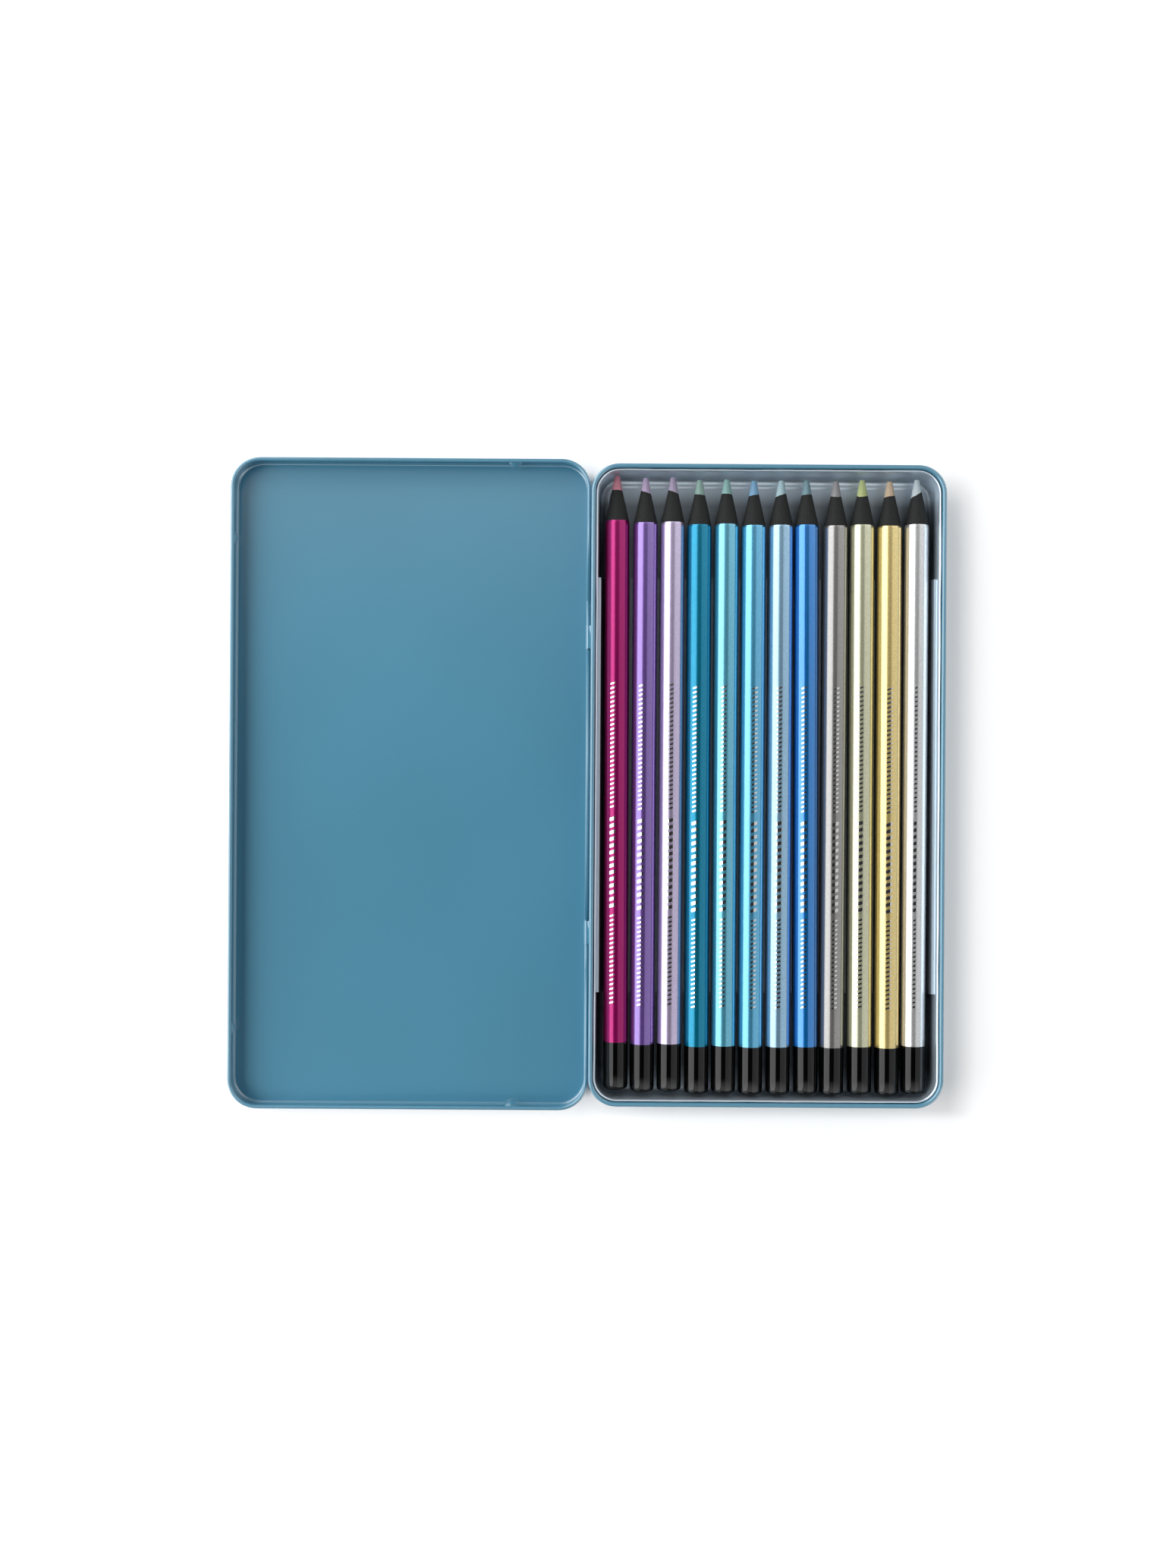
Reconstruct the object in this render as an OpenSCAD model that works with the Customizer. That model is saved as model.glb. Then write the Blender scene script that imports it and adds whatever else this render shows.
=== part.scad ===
// Hinged flat tin with a formed tray and a row of round colouring pencils.
// The tin lies open: +Y is toward the pencil tips, the base is on the +X side
// and the lid lies on its back on the -X side, turned by 180 degrees about the hinge.

/* [Pencils] */
// Number of pencils in the row
pencil_count = 12; // [3:1:12]
// Length of a sharpened pencil
pencil_l = 176; // [120:1:180]
// Diameter of the painted barrel
pencil_d = 7; // [6.4:0.1:7.6]
// Gap between neighbouring barrels
pencil_gap = 0.76; // [0.7:0.01:1.5]
// Diameter of the coloured core
core_d = 3; // [2:0.1:4]
// Width of the blunt point of the core
point_d = 1.44; // [0.6:0.02:1.8]
// Length of the sharpened cone, point to lacquer
cone_l = 13.4; // [9:0.1:18]
// Bare core in front of the wood
bare_core_l = 4.2; // [2.5:0.1:6]
// Thickness of the lacquer on the barrel
lacquer_t = 0.1; // [0.05:0.01:0.2]
// Length of the dipped cap, without its dome
dip_l = 13.2; // [6:0.1:30]
// How far the dipped cap domes out at the end
dip_dome_h = 0.8; // [0.4:0.1:1.5]
// Thickness of the dipped cap over the end of the wood
dip_t = 0.2; // [0.1:0.05:0.5]

/* [Tray] */
// Sheet thickness of the formed tray
tray_t = 0.4; // [0.3:0.05:0.6]
// Gap between the tray and the wall of the base
tray_gap = 0.15; // [0.1:0.05:0.5]
// Gap between the tray and the floor of the base
tray_float = 0.1; // [0.05:0.05:0.5]
// How far the tray edge lies below the rim of the base
tray_drop = 1; // [0.5:0.1:3]
// Draft of the tray walls in degrees
tray_draft = 4; // [1:0.5:8]
// Radius between the tray wall and its floor
tray_fillet = 2.5; // [1:0.1:3]
// Room between the outer barrels and the top of the tray wall
side_room = 2.37; // [2:0.01:6]
// Room between a pencil end and the top of the tray wall
end_room = 1.4; // [1.2:0.1:6]
// Length of the cradle that carries the barrels
cradle_l = 118.5; // [60:0.5:120]
// Rise of the groove bottoms above the pocket floors
cradle_rise = 1.4; // [1.2:0.1:2.5]
// Clearance between a barrel and its groove
groove_gap = 0.3; // [0.25:0.05:0.4]
// How far the crests between grooves lie below the barrel axes
crest_drop = 2.2; // [1:0.1:2.6]
// Extra width of the first and the last groove, next to the side shoulders
side_groove_room = 0.9; // [0:0.05:1]
// How far the side shoulders rise above the barrel axes
shoulder_rise = 2; // [0.5:0.1:3]
// Corner radius of the end pockets where they meet the cradle
pocket_r = 2.2; // [1:0.1:4]

/* [Base] */
// Height of the base over its rolled rim
base_h = 12; // [11.5:0.1:16]
// Sheet thickness of the tin
sheet_t = 0.3; // [0.2:0.05:0.4]
// Width of the outward roll on the base rim
base_roll_w = 1.3; // [1.1:0.05:1.8]
// Outer corner radius of the base
base_corner_r = 8; // [6:0.5:14]
// Outer radius between the wall and the floor of the base
base_edge_r = 1.5; // [0.8:0.1:1.8]

/* [Lid] */
// Width of the inward curl on the lid rim
curl_w = 1.1; // [0.8:0.05:1.2]
// How much larger the lid corners are than the base corners
corner_growth = 0.4; // [0:0.1:1]
// Outer radius between the wall and the panel of the lid
lid_edge_r = 1.3; // [0.8:0.1:1.6]
// Air between the closed lid and the base rim
lid_air = 0.3; // [0.2:0.05:1]
// Gap between the lid curl and the front of the base rim
front_gap = 0.2; // [0.2:0.05:1]
// Gap between the lid curl and each end of the base rim
end_gap = 1.05; // [0.3:0.05:2]
// Radius of a snap dimple in the front of the lid
dimple_r = 2; // [1.2:0.1:2]
// Radius of the snap dimples in the two ends of the lid
end_dimple_r = 2.1; // [1.2:0.1:2.1]
// How far the dimples in the two ends stand into the lid
end_dimple_h = 1.5; // [0.8:0.05:1.5]
// How far a front dimple stands into the lid
dimple_h = 1.2; // [0.8:0.05:1.3]
// Height of the dimples above the lid panel
dimple_z = 3.7; // [3.2:0.1:3.8]
// Distance of the two front dimples from the middle
front_dimple_y = 70.7; // [20:0.1:75]
// Distance of the two end dimples from the hinge axis
end_dimple_x = 21.3; // [15:0.1:80]
// Radius of the matching dents in the front of the base
dent_r = 1.7; // [1:0.1:1.8]
// Depth of the matching dents in the front of the base
dent_h = 0.3; // [0.1:0.05:0.35]

/* [Hinge] */
// Gap between the lid curl and the base rim along the hinge
seam_gap = 0.1; // [0.1:0.05:0.5]
// Distance from the middle to the inner end of a hinge window
window_in_y = 38.6; // [15:0.1:45]
// Length of a hinge window
window_l = 14.1; // [9:0.1:20]
// Length of a knuckle
knuckle_l = 6.6; // [4:0.1:8]
// Gap between a knuckle and the inner end of its window
knuckle_gap = 0.4; // [0.2:0.1:1]
// Room round a knuckle in its window
window_room = 0.3; // [0.2:0.05:0.5]
// How far the bare bar reaches into the curl at each end of a window
bar_grip = 1; // [0.5:0.1:2]
// Radius of the bare rim bar that turns in the knuckles
pin_r = 0.35; // [0.3:0.01:0.4]
// Clearance between the bar and a knuckle
pin_gap = 0.1; // [0.05:0.01:0.12]

/* [Hidden] */
$fn = 64;
// How far a cut runs past the face it cuts through
over = 1;
PIECES = ["core", "casing", "lacquer", "end_dip"];
function pencil_node(i, piece) = str("pencil_", i < 9 ? "0" : "", i + 1, "_", piece);

// Lacquer and core colours, first pencil next to the hinge
lacquer_colours = ["#9B1D6B", "#7459A6", "#BFB0D2", "#0086A0", "#6FB4C8", "#5BA7CF",
                   "#A0C3DC", "#2F74C0", "#8C8B89", "#BCC09E", "#DCC47A", "#CACACC"];
core_colours = ["#B56A78", "#A78BB0", "#9D84A5", "#86B09C", "#7FB0A6", "#6B9FC9",
                "#9BB8C0", "#6F9AA5", "#8D8184", "#A9B56F", "#B79A7C", "#B4BBBE"];
// Each pencil lies a little askew: sideways shift, lean in degrees and shift along its groove
pencil_shift = [-0.1, 0, 0, 0, 0, 0, 0.1, -0.05, 0.1, 0.1, 0.2, 0.1];
pencil_lean = [-0.15, 0.05, 0.07, 0, 0.03, 0.06, 0.03, -0.2, 0.13, -0.02, -0.02, 0.11];
pencil_slide = [1.1, 0.5, 0.7, 0, 0.2, -0.1, 0, 0.1, -0.1, 0.2, -0.1, 0.4];
// The row lies a little toward the dipped ends
row_slide = -0.5;

// Base
pencil_r = pencil_d / 2;
pitch = pencil_d + pencil_gap;
row_w = (pencil_count - 1) * pitch;
base_inset = base_roll_w - sheet_t;          // outer face of the wall, from the rim's edge
tray_inset = base_roll_w + tray_gap;         // outer face of the tray, from the rim's edge
base_w = row_w + pencil_d + 2 * (tray_inset + tray_t + side_room);
base_l = pencil_l + 2 * (tray_inset + tray_t + end_room);

// Lid and hinge
curl_r = curl_w / 2;
closed_h = base_h + lid_air + sheet_t;
hinge_z = closed_h / 2;
lid_h = hinge_z + curl_r;
lid_w = base_w + seam_gap + front_gap + 2 * curl_w;
lid_l = base_l + 2 * (end_gap + curl_w);
lid_corner_r = base_corner_r + corner_growth;
hinge_x = (lid_w - base_w - seam_gap - curl_w) / 2;
base_x = hinge_x + curl_r + seam_gap + base_w / 2;
lid_x = hinge_x + curl_r - lid_w / 2;
knuckle_in_r = pin_r + pin_gap;
knuckle_out_r = knuckle_in_r + sheet_t;
window_r = knuckle_out_r + window_room;
dent_z = closed_h - dimple_z;

// Tray
tray_z = sheet_t + tray_float;
tray_top = base_h - tray_drop;
tray_w = base_w - 2 * tray_inset;
tray_l = base_l - 2 * tray_inset;
tray_corner_r = base_corner_r - tray_inset;
floor_top = tray_z + tray_t;
groove_r = pencil_r + groove_gap;
axis_z = floor_top + cradle_rise + groove_r;
crest_z = axis_z - crest_drop;
shoulder_z = axis_z + shoulder_rise;
cradle_under = floor_top + cradle_rise - tray_t;
fillet_z = floor_top + tray_fillet;

// Distance from the tray's edge to the inner face of its wall
function wall_in(z) = tray_t / cos(tray_draft) + (tray_top - z) * tan(tray_draft);
fillet_in = wall_in(fillet_z) + tray_fillet / cos(tray_draft);
function pencil_x(i) = base_x - row_w / 2 + i * pitch;

// Plan of a plate with round corners
module round_plate(w, l, r, h) {
    linear_extrude(height = h) union() {
        square([w - 2 * r, l], center = true);
        square([w, l - 2 * r], center = true);
        for (x = [-1, 1], y = [-1, 1])
            translate([x * (w / 2 - r), y * (l / 2 - r)]) circle(r = r);
    }
}

// Sweeps a section around a rounded rectangle. The section is drawn with its outer
// edge on x = 0 and its material on the -x side.
module swept_rim(w, l, r) {
    for (turn = [0, 180]) {
        rotate(turn) translate([w / 2, 0, 0]) rotate([90, 0, 0])
            linear_extrude(height = l - 2 * r, center = true) children();
        rotate(turn + 90) translate([l / 2, 0, 0]) rotate([90, 0, 0])
            linear_extrude(height = w - 2 * r, center = true) children();
    }
    for (x = [-1, 1], y = [-1, 1])
        translate([x * (w / 2 - r), y * (l / 2 - r), 0])
            rotate(x > 0 ? (y > 0 ? 0 : 270) : (y > 0 ? 90 : 180))
                rotate_extrude(angle = 90) translate([r, 0]) children();
}

// Quarter bend of sheet between a floor and a wall whose outer face is at -inset
module bend(inset, r, t) {
    translate([-inset - r, r]) intersection() {
        difference() {
            circle(r = r);
            circle(r = r - t);
        }
        translate([0, -r]) square([r, r]);
    }
}

// A dimple pressed along +X into a wall of thickness t whose far face is the plane x = 0
function ball_r(r, h) = (r * r + h * h) / (2 * h);

module cap(radius, rise, reach, depth)
    rotate([0, 90, 0]) rotate_extrude() intersection() {
        translate([0, rise - radius]) circle(r = radius);
        translate([0, -depth]) square([reach, depth + rise]);
    }

module dome(r, h, t) cap(ball_r(r, h), h, r, t / 2);

module dome_hollow(r, h, t) cap(ball_r(r, h) - t, h - t, r, t + 0.05);

// Base of the tin
module base_rim_section() {
    bend(base_inset, base_edge_r, sheet_t);
    translate([-base_inset - sheet_t, base_edge_r])
        square([sheet_t, base_h - base_roll_w / 2 - base_edge_r]);
    translate([-base_roll_w / 2, base_h - base_roll_w / 2]) difference() {
        circle(r = base_roll_w / 2);
        circle(r = base_roll_w / 2 - sheet_t);
        translate([sheet_t - base_roll_w / 2, -base_roll_w])
            square([base_roll_w / 2 - sheet_t, base_roll_w]);
    }
}

module place_dents() {
    for (y = [-1, 1])
        translate([base_w / 2 - base_inset - sheet_t, y * front_dimple_y, dent_z])
            rotate([0, 0, 180]) children();
}

module base_shell() color("#5487A5") {
    translate([base_x, 0, 0]) difference() {
        union() {
            swept_rim(base_w, base_l, base_corner_r) base_rim_section();
            round_plate(base_w - 2 * (base_inset + base_edge_r),
                        base_l - 2 * (base_inset + base_edge_r),
                        base_corner_r - base_inset - base_edge_r, sheet_t);
            place_dents() dome(dent_r, dent_h, sheet_t);
        }
        place_dents() dome_hollow(dent_r, dent_h, sheet_t);
    }
    for (y = [-1, 1])
        translate([hinge_x, y * (window_in_y + knuckle_gap + knuckle_l / 2), hinge_z])
            rotate([90, 0, 0]) knuckle();
}

// One knuckle: a sheet ring around the bar with a strap back to the wall of the base
module knuckle() {
    linear_extrude(height = knuckle_l, center = true) difference() {
        union() {
            circle(r = knuckle_out_r);
            translate([0, knuckle_in_r])
                square([curl_r + seam_gap + base_inset + sheet_t / 2, sheet_t]);
        }
        circle(r = knuckle_in_r);
    }
}

// Lid of the tin
module lid_rim_section() {
    bend(0, lid_edge_r, sheet_t);
    translate([-sheet_t, lid_edge_r]) square([sheet_t, hinge_z - lid_edge_r]);
    translate([-curl_r, hinge_z]) circle(r = curl_r);
}

module place_front_dimples() for (y = [-1, 1])
    translate([sheet_t - lid_w / 2, y * front_dimple_y, dimple_z]) children();

module place_end_dimples() for (y = [-1, 1])
    translate([lid_w / 2 - curl_r - end_dimple_x, y * (lid_l / 2 - sheet_t), dimple_z])
        rotate([0, 0, -y * 90]) children();

module lid_shell() color("#5487A5") {
    translate([lid_x, 0, 0]) difference() {
        union() {
            swept_rim(lid_w, lid_l, lid_corner_r) lid_rim_section();
            round_plate(lid_w - 2 * lid_edge_r, lid_l - 2 * lid_edge_r,
                        lid_corner_r - lid_edge_r, sheet_t);
            place_front_dimples() dome(dimple_r, dimple_h, sheet_t);
            place_end_dimples() dome(end_dimple_r, end_dimple_h, sheet_t);
        }
        place_front_dimples() dome_hollow(dimple_r, dimple_h, sheet_t);
        place_end_dimples() dome_hollow(end_dimple_r, end_dimple_h, sheet_t);
        for (y = [-1, 1])
            translate([lid_w / 2 - curl_r, y * (window_in_y + window_l / 2), hinge_z])
                cube([2 * curl_w, window_l, 2 * window_r], center = true);
    }
    for (y = [-1, 1])
        translate([hinge_x, y * (window_in_y + window_l / 2), hinge_z]) rotate([90, 0, 0])
            cylinder(r = pin_r, h = window_l + 2 * bar_grip, center = true);
}

// Tray: a drafted wall with a round foot, two deep end pockets and a grooved cradle
module tray_wall_section() {
    foot = [-fillet_in, fillet_z];
    polygon([
        [-wall_in(tray_top), tray_top],
        [-fillet_in + tray_fillet * cos(tray_draft), fillet_z - tray_fillet * sin(tray_draft)],
        [-fillet_in + (tray_fillet + tray_t) * cos(tray_draft),
         fillet_z - (tray_fillet + tray_t) * sin(tray_draft)],
        [-wall_in(tray_top) + tray_t / cos(tray_draft), tray_top]
    ]);
    translate(foot) intersection() {
        difference() {
            circle(r = tray_fillet + tray_t);
            circle(r = tray_fillet);
        }
        polygon([[0, 0], [0, -2 * tray_fillet], [2 * tray_fillet, -2 * tray_fillet],
                 [2 * tray_fillet * cos(tray_draft), -2 * tray_fillet * sin(tray_draft)]]);
    }
}

// Where the round foot of the side wall stands, and its middle surface
foot_x = base_w / 2 - tray_inset - fillet_in;
foot_r = tray_fillet + tray_t / 2;
foot_a = asin((fillet_z - cradle_under) / foot_r);
function foot_point(a) = [foot_x + foot_r * cos(a), fillet_z - foot_r * sin(a)];
function wall_mid(z) = base_w / 2 - tray_inset - wall_in(z) + tray_t / 2;

// Half a section across one shoulder, from the foot of the side wall to the outer groove
module shoulder_section()
    polygon([[row_w / 2, cradle_under], foot_point(foot_a), [wall_mid(fillet_z), fillet_z],
             [wall_mid(shoulder_z), shoulder_z], [row_w / 2, shoulder_z]]);

module cradle_section() {
    for (s = [0, 1]) mirror([s, 0]) shoulder_section();
    translate([-row_w / 2, cradle_under]) square([row_w, crest_z - cradle_under]);
}

module cradle() {
    difference() {
        rotate([90, 0, 0]) linear_extrude(height = cradle_l, center = true) cradle_section();
        for (i = [0:pencil_count - 1])
            translate([pencil_x(i) - base_x, 0, axis_z]) rotate([90, 0, 0])
                cylinder(r = groove_r, h = cradle_l + 2 * over, center = true);
        for (s = [-1, 1])
            translate([s * (row_w / 2 + side_groove_room), 0, axis_z]) rotate([90, 0, 0])
                cylinder(r = groove_r, h = cradle_l + 2 * over, center = true);
        translate([-row_w / 2 - side_groove_room - groove_r, -cradle_l / 2 - over, axis_z])
            cube([row_w + 2 * (side_groove_room + groove_r), cradle_l + 2 * over,
                  shoulder_rise + over]);
    }
}

// Step from a pocket floor up to the underside of the cradle
module step_section()
    polygon(concat([[0, tray_z], [foot_x, tray_z]],
        [for (k = [4:-1:0]) foot_point(foot_a + (90 - foot_a) * k / 4)],
        [[0, cradle_under]]));

// Round corner between a shoulder and the side wall of a pocket
module pocket_corner() {
    corner_x = base_w / 2 - tray_inset - wall_in(shoulder_z) - pocket_r;
    difference() {
        translate([0, cradle_l / 2 + pocket_r, 0]) rotate([90, 0, 0])
            linear_extrude(height = pocket_r) union() {
                shoulder_section();
                step_section();
            }
        translate([corner_x, cradle_l / 2 + pocket_r, 0])
            cylinder(r = pocket_r, h = tray_top);
        translate([-over, cradle_l / 2 - over, 0])
            cube([corner_x + over, pocket_r + 2 * over, tray_top]);
    }
}

module pocket_step() rotate([90, 0, 0]) translate([0, 0, -cradle_l / 2])
    linear_extrude(height = tray_t) step_section();

module pocket_floors() difference() {
    translate([0, 0, tray_z])
        round_plate(tray_w - 2 * fillet_in, tray_l - 2 * fillet_in,
                    tray_corner_r - fillet_in, tray_t);
    translate([-base_w / 2, tray_t - cradle_l / 2, 0])
        cube([base_w, cradle_l - 2 * tray_t, tray_top]);
}

module pencil_tray() color("#C9CDD2") translate([base_x, 0, 0]) {
    swept_rim(tray_w, tray_l, tray_corner_r) tray_wall_section();
    pocket_floors();
    cradle();
    for (x = [0, 1], y = [0, 1]) mirror([x, 0, 0]) mirror([0, y, 0]) {
        pocket_step();
        pocket_corner();
    }
}

// Pencils: drawn point up, then laid in the grooves with the point toward +Y
module lay_pencil(i) {
    translate([pencil_x(i) + pencil_shift[i], row_slide + pencil_slide[i], axis_z])
        rotate([0, 0, -pencil_lean[i]]) rotate([-90, 0, 0])
            translate([0, 0, -pencil_l / 2]) children();
}

// Where the wood starts above the end of the cap, and where the lacquer's own edge lies
wood_z = dip_dome_h + dip_t;
dip_z = dip_dome_h + dip_l;
cone_z = pencil_l - cone_l;
edge_z = cone_z + lacquer_t * (cone_l - bare_core_l) / (pencil_r - core_d / 2);

module pencil_core(i) color(core_colours[i]) lay_pencil(i)
    rotate_extrude() polygon([[0, wood_z], [core_d / 2, wood_z],
        [core_d / 2, pencil_l - bare_core_l], [point_d / 2, pencil_l], [0, pencil_l]]);

module pencil_casing(i) color("#1E1E20") lay_pencil(i)
    rotate_extrude() polygon([[core_d / 2, wood_z], [pencil_r - lacquer_t, wood_z],
        [pencil_r - lacquer_t, edge_z], [core_d / 2, pencil_l - bare_core_l]]);

module pencil_lacquer(i) color(lacquer_colours[i]) lay_pencil(i)
    rotate_extrude() polygon([[pencil_r - lacquer_t, dip_z], [pencil_r, dip_z],
        [pencil_r, cone_z], [pencil_r - lacquer_t, edge_z]]);

module pencil_end_dip(i) color("#0C0C0E") lay_pencil(i) difference() {
    union() {
        translate([0, 0, dip_dome_h]) cylinder(r = pencil_r, h = dip_l);
        intersection() {
            cylinder(r = pencil_r, h = dip_dome_h);
            translate([0, 0, ball_r(pencil_r, dip_dome_h)])
                sphere(r = ball_r(pencil_r, dip_dome_h));
        }
    }
    translate([0, 0, wood_z]) cylinder(r = pencil_r - lacquer_t, h = dip_l);
}

base_shell();
lid_shell();
pencil_tray();
for (i = [0:pencil_count - 1]) {
    pencil_core(i);
    pencil_casing(i);
    pencil_lacquer(i);
    pencil_end_dip(i);
}
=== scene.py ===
import math

import bmesh
import bpy
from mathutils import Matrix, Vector, noise


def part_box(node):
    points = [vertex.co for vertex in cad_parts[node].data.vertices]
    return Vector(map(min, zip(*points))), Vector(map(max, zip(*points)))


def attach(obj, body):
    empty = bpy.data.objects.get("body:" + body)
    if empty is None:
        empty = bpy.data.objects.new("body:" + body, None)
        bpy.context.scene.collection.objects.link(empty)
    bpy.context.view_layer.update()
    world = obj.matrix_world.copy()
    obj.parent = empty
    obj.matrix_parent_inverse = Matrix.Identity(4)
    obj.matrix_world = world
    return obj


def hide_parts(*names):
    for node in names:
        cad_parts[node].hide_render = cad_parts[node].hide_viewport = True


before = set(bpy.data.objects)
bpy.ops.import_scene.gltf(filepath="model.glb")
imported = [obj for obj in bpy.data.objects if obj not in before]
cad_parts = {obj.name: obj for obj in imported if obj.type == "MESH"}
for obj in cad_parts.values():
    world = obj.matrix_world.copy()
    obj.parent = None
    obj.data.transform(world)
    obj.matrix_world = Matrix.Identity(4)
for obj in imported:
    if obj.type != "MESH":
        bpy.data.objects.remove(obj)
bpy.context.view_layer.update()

bl_info = {
    "name": "Colouring Pencil Tin",
    "version": (1, 0, 0),
    "blender": (4, 5, 0),
    "location": "View3D > Sidebar > Pencil Tin",
    "description": "Dresses an open hinged tin, its formed tray and its round colouring pencils",
    "category": "Add Mesh",
}

MM = 0.001

# Barrel lacquers and cores from the hinge outwards. Each line: record slot, metallic
# lacquer, core slot, core, then how the cut runs: slant in mm and the side it rises to in
# degrees.
PENCILS = [
    ("lacquer_magenta", "#A9076C", "core_dusty_rose", "#CC8392", 0.10, 180),
    ("lacquer_violet", "#825FB5", "core_lilac", "#B9A6C6", 0.50, 180),
    ("lacquer_pale_lilac", "#D0C2E5", "core_mauve", "#ADA0BA", 0.55, 180),
    ("lacquer_teal", "#0088AC", "core_sage", "#92B2A8", 0.20, 150),
    ("lacquer_aqua", "#64BFDC", "core_mint", "#8EBAB5", 0.10, 180),
    ("lacquer_sky_blue", "#5BB9E4", "core_steel_blue", "#7CAACD", 0.25, 0),
    ("lacquer_ice_blue", "#9BC8E6", "core_pale_aqua", "#AFCCD4", 0.50, 0),
    ("lacquer_blue", "#0784D9", "core_teal_grey", "#7899A3", 0.10, 0),
    ("lacquer_gunmetal", "#989795", "core_mauve_grey", "#969496", 0.45, 90),
    ("lacquer_champagne", "#D6D7B6", "core_lime_olive", "#B8C486", 0.65, 80),
    ("lacquer_gold", "#F1D88C", "core_tan", "#CCB599", 0.30, 30),
    ("lacquer_silver", "#E4E5E6", "core_light_grey", "#C6D2D7", 0.95, 0),
]

# These lacquers carry only this share of clear coat, so their stripes stay coloured
THIN_COAT = {"lacquer_magenta": 0.3, "lacquer_teal": 0.3}

# Where the foil row sits round each barrel, in degrees from the top toward +X
FOIL_TURN = [-19, -16, -4, -18, -12, 6, -8, -16, 3, -11, -3, 0]

# Edges of a sharpened pencil: height of the unevenness in mm, and its fineness round the edge
CUT_EDGE = (0.1, 3.0)
LACQUER_EDGE = (0.09, 14.0)
# Depth in mm and fineness of the flats that a blade leaves round the cone
FACET_DEPTH, FACET_SCALE = 0.22, 1.6
# Each pencil's unevenness starts from its own seed, this far from the last
SEED_STEP = 3.7
# How a bold mark grows from a fine one: across, outwards and along the barrel
BOLD_MARK = (1.15, 1, 2)

# Roundings in the formed film, in mm: along the ridges between grooves, at the steps from
# the cradle down to the pockets, where the cradle meets the walls, and none to speak of
RIDGE_ROUND, STEP_ROUND, WALL_ROUND, NO_ROUND = 0.5, 0.9, 1.1, 0.01
# The arc of a groove stops this many mm short of upright, and goes on straight this steep
ARC_STOP, ARC_SLOPE = 0.08, 12
# A step reaches this many mm past the end of the cradle, and is this steep
STEP_REACH, STEP_SLOPE = 0.55, 14
# The film's free edge is uneven by up to about this many mm, fading out this far inwards, in
# long and short waves: their fineness and their share. Below the third number it is straight
EDGE_GIVE, EDGE_FADE, EDGE_CALM = 0.2, 0.9, -0.25
LONG_WAVE, SHORT_WAVE = (0.09, 0.5), (0.3, 0.25)
# Steps round a corner in plan, and a distance in mm that is past every wall
CORNER_STEPS, PAST_WALLS = 12, 99

# Edges that bend by more than this are shaded sharp: in pressed sheet, film and pencils
SHEET_BEND, FILM_BEND, PENCIL_BEND = (math.radians(angle) for angle in (32, 50, 40))
# Points closer than this, in metres, become one
WELD = 1e-6

# The lens: its focal length and the height of its frame in the same pixels, and the sensor
FOCAL_PIXELS, FRAME_PIXELS, SENSOR = 2123, 2067, 36
# Strength of the plain light from all round
ROOM_LIGHT = 0.08


def linear(code):
    """Turns an sRGB hex code into the linear colour that Blender's sockets take."""
    parts = [int(code[i:i + 2], 16) / 255 for i in (1, 3, 5)]
    return tuple(c / 12.92 if c <= 0.04045 else ((c + 0.055) / 1.055) ** 2.4 for c in parts)


def per(size):
    """The scale of a pattern whose grains or waves are so many millimetres across."""
    return 1 / (size * MM)


def add_node(tree, kind, links=None, **settings):
    """Adds a node, sets its properties, and fills or links its inputs by name or number."""
    node = tree.nodes.new(kind)
    for key, value in settings.items():
        setattr(node, key, value)
    for key, value in (links or {}).items():
        if isinstance(value, bpy.types.NodeSocket):
            tree.links.new(value, node.inputs[key])
        else:
            node.inputs[key].default_value = value
    return node


def new_material(name, **values):
    """Starts a material, and gives it back with its tree, its Principled shader and the
    place on the piece that its patterns follow."""
    material = bpy.data.materials.new(name)
    material.use_nodes = True
    tree = material.node_tree
    tree.nodes.clear()
    shader = add_node(tree, "ShaderNodeBsdfPrincipled",
                      {key.replace("_", " "): value for key, value in values.items()})
    add_node(tree, "ShaderNodeOutputMaterial", {"Surface": shader.outputs[0]})
    return material, tree, shader, add_node(tree, "ShaderNodeTexCoord").outputs["Object"]


def apply_pattern(tree, shader, colour, tone=None, height=None, depth=0):
    """Gives a shader its colour, scaled by a tone, and a relief of some depth."""
    if tone is not None:
        colour = add_node(tree, "ShaderNodeVectorMath", {0: colour, "Scale": tone},
                          operation="SCALE").outputs[0]
    if colour is not None:
        tree.links.new(colour, shader.inputs["Base Color"])
    if height is not None:
        relief = add_node(tree, "ShaderNodeBump",
                          {"Height": height, "Distance": depth, "Strength": 1.0})
        tree.links.new(relief.outputs[0], shader.inputs["Normal"])


def set_stops(ramp, stops):
    """Fills a colour ramp from (position, grey or colour) pairs and gives back its colour."""
    while len(ramp.color_ramp.elements) < len(stops):
        ramp.color_ramp.elements.new(0.5)
    for element, (place, colour) in zip(ramp.color_ramp.elements, stops):
        element.position = place
        element.color = (*colour, 1) if isinstance(colour, tuple) else (colour, colour, colour, 1)
    return ramp.outputs["Color"]


def new_piece(name, mesh, body, slot, *nodes):
    """Links a finished mesh as a piece that rides on a body and stands for its CAD nodes."""
    piece = bpy.data.objects.new(name, mesh)
    bpy.context.scene.collection.objects.link(piece)
    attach(piece, body)
    if nodes:
        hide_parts(*nodes)
    return piece


def hold(name, mesh, kind):
    """Puts a mesh on an object with one modifier, and gives both back."""
    host = bpy.data.objects.new(name, mesh)
    bpy.context.scene.collection.objects.link(host)
    return host, host.modifiers.new(kind.title(), kind)


def take_mesh(host):
    """The plain mesh that an object's modifier makes. The object is removed."""
    graph = bpy.context.evaluated_depsgraph_get()
    made = bpy.data.meshes.new_from_object(host.evaluated_get(graph),
                                           preserve_all_data_layers=True, depsgraph=graph)
    host.modifiers.clear()
    bpy.data.objects.remove(host)
    return made


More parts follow.
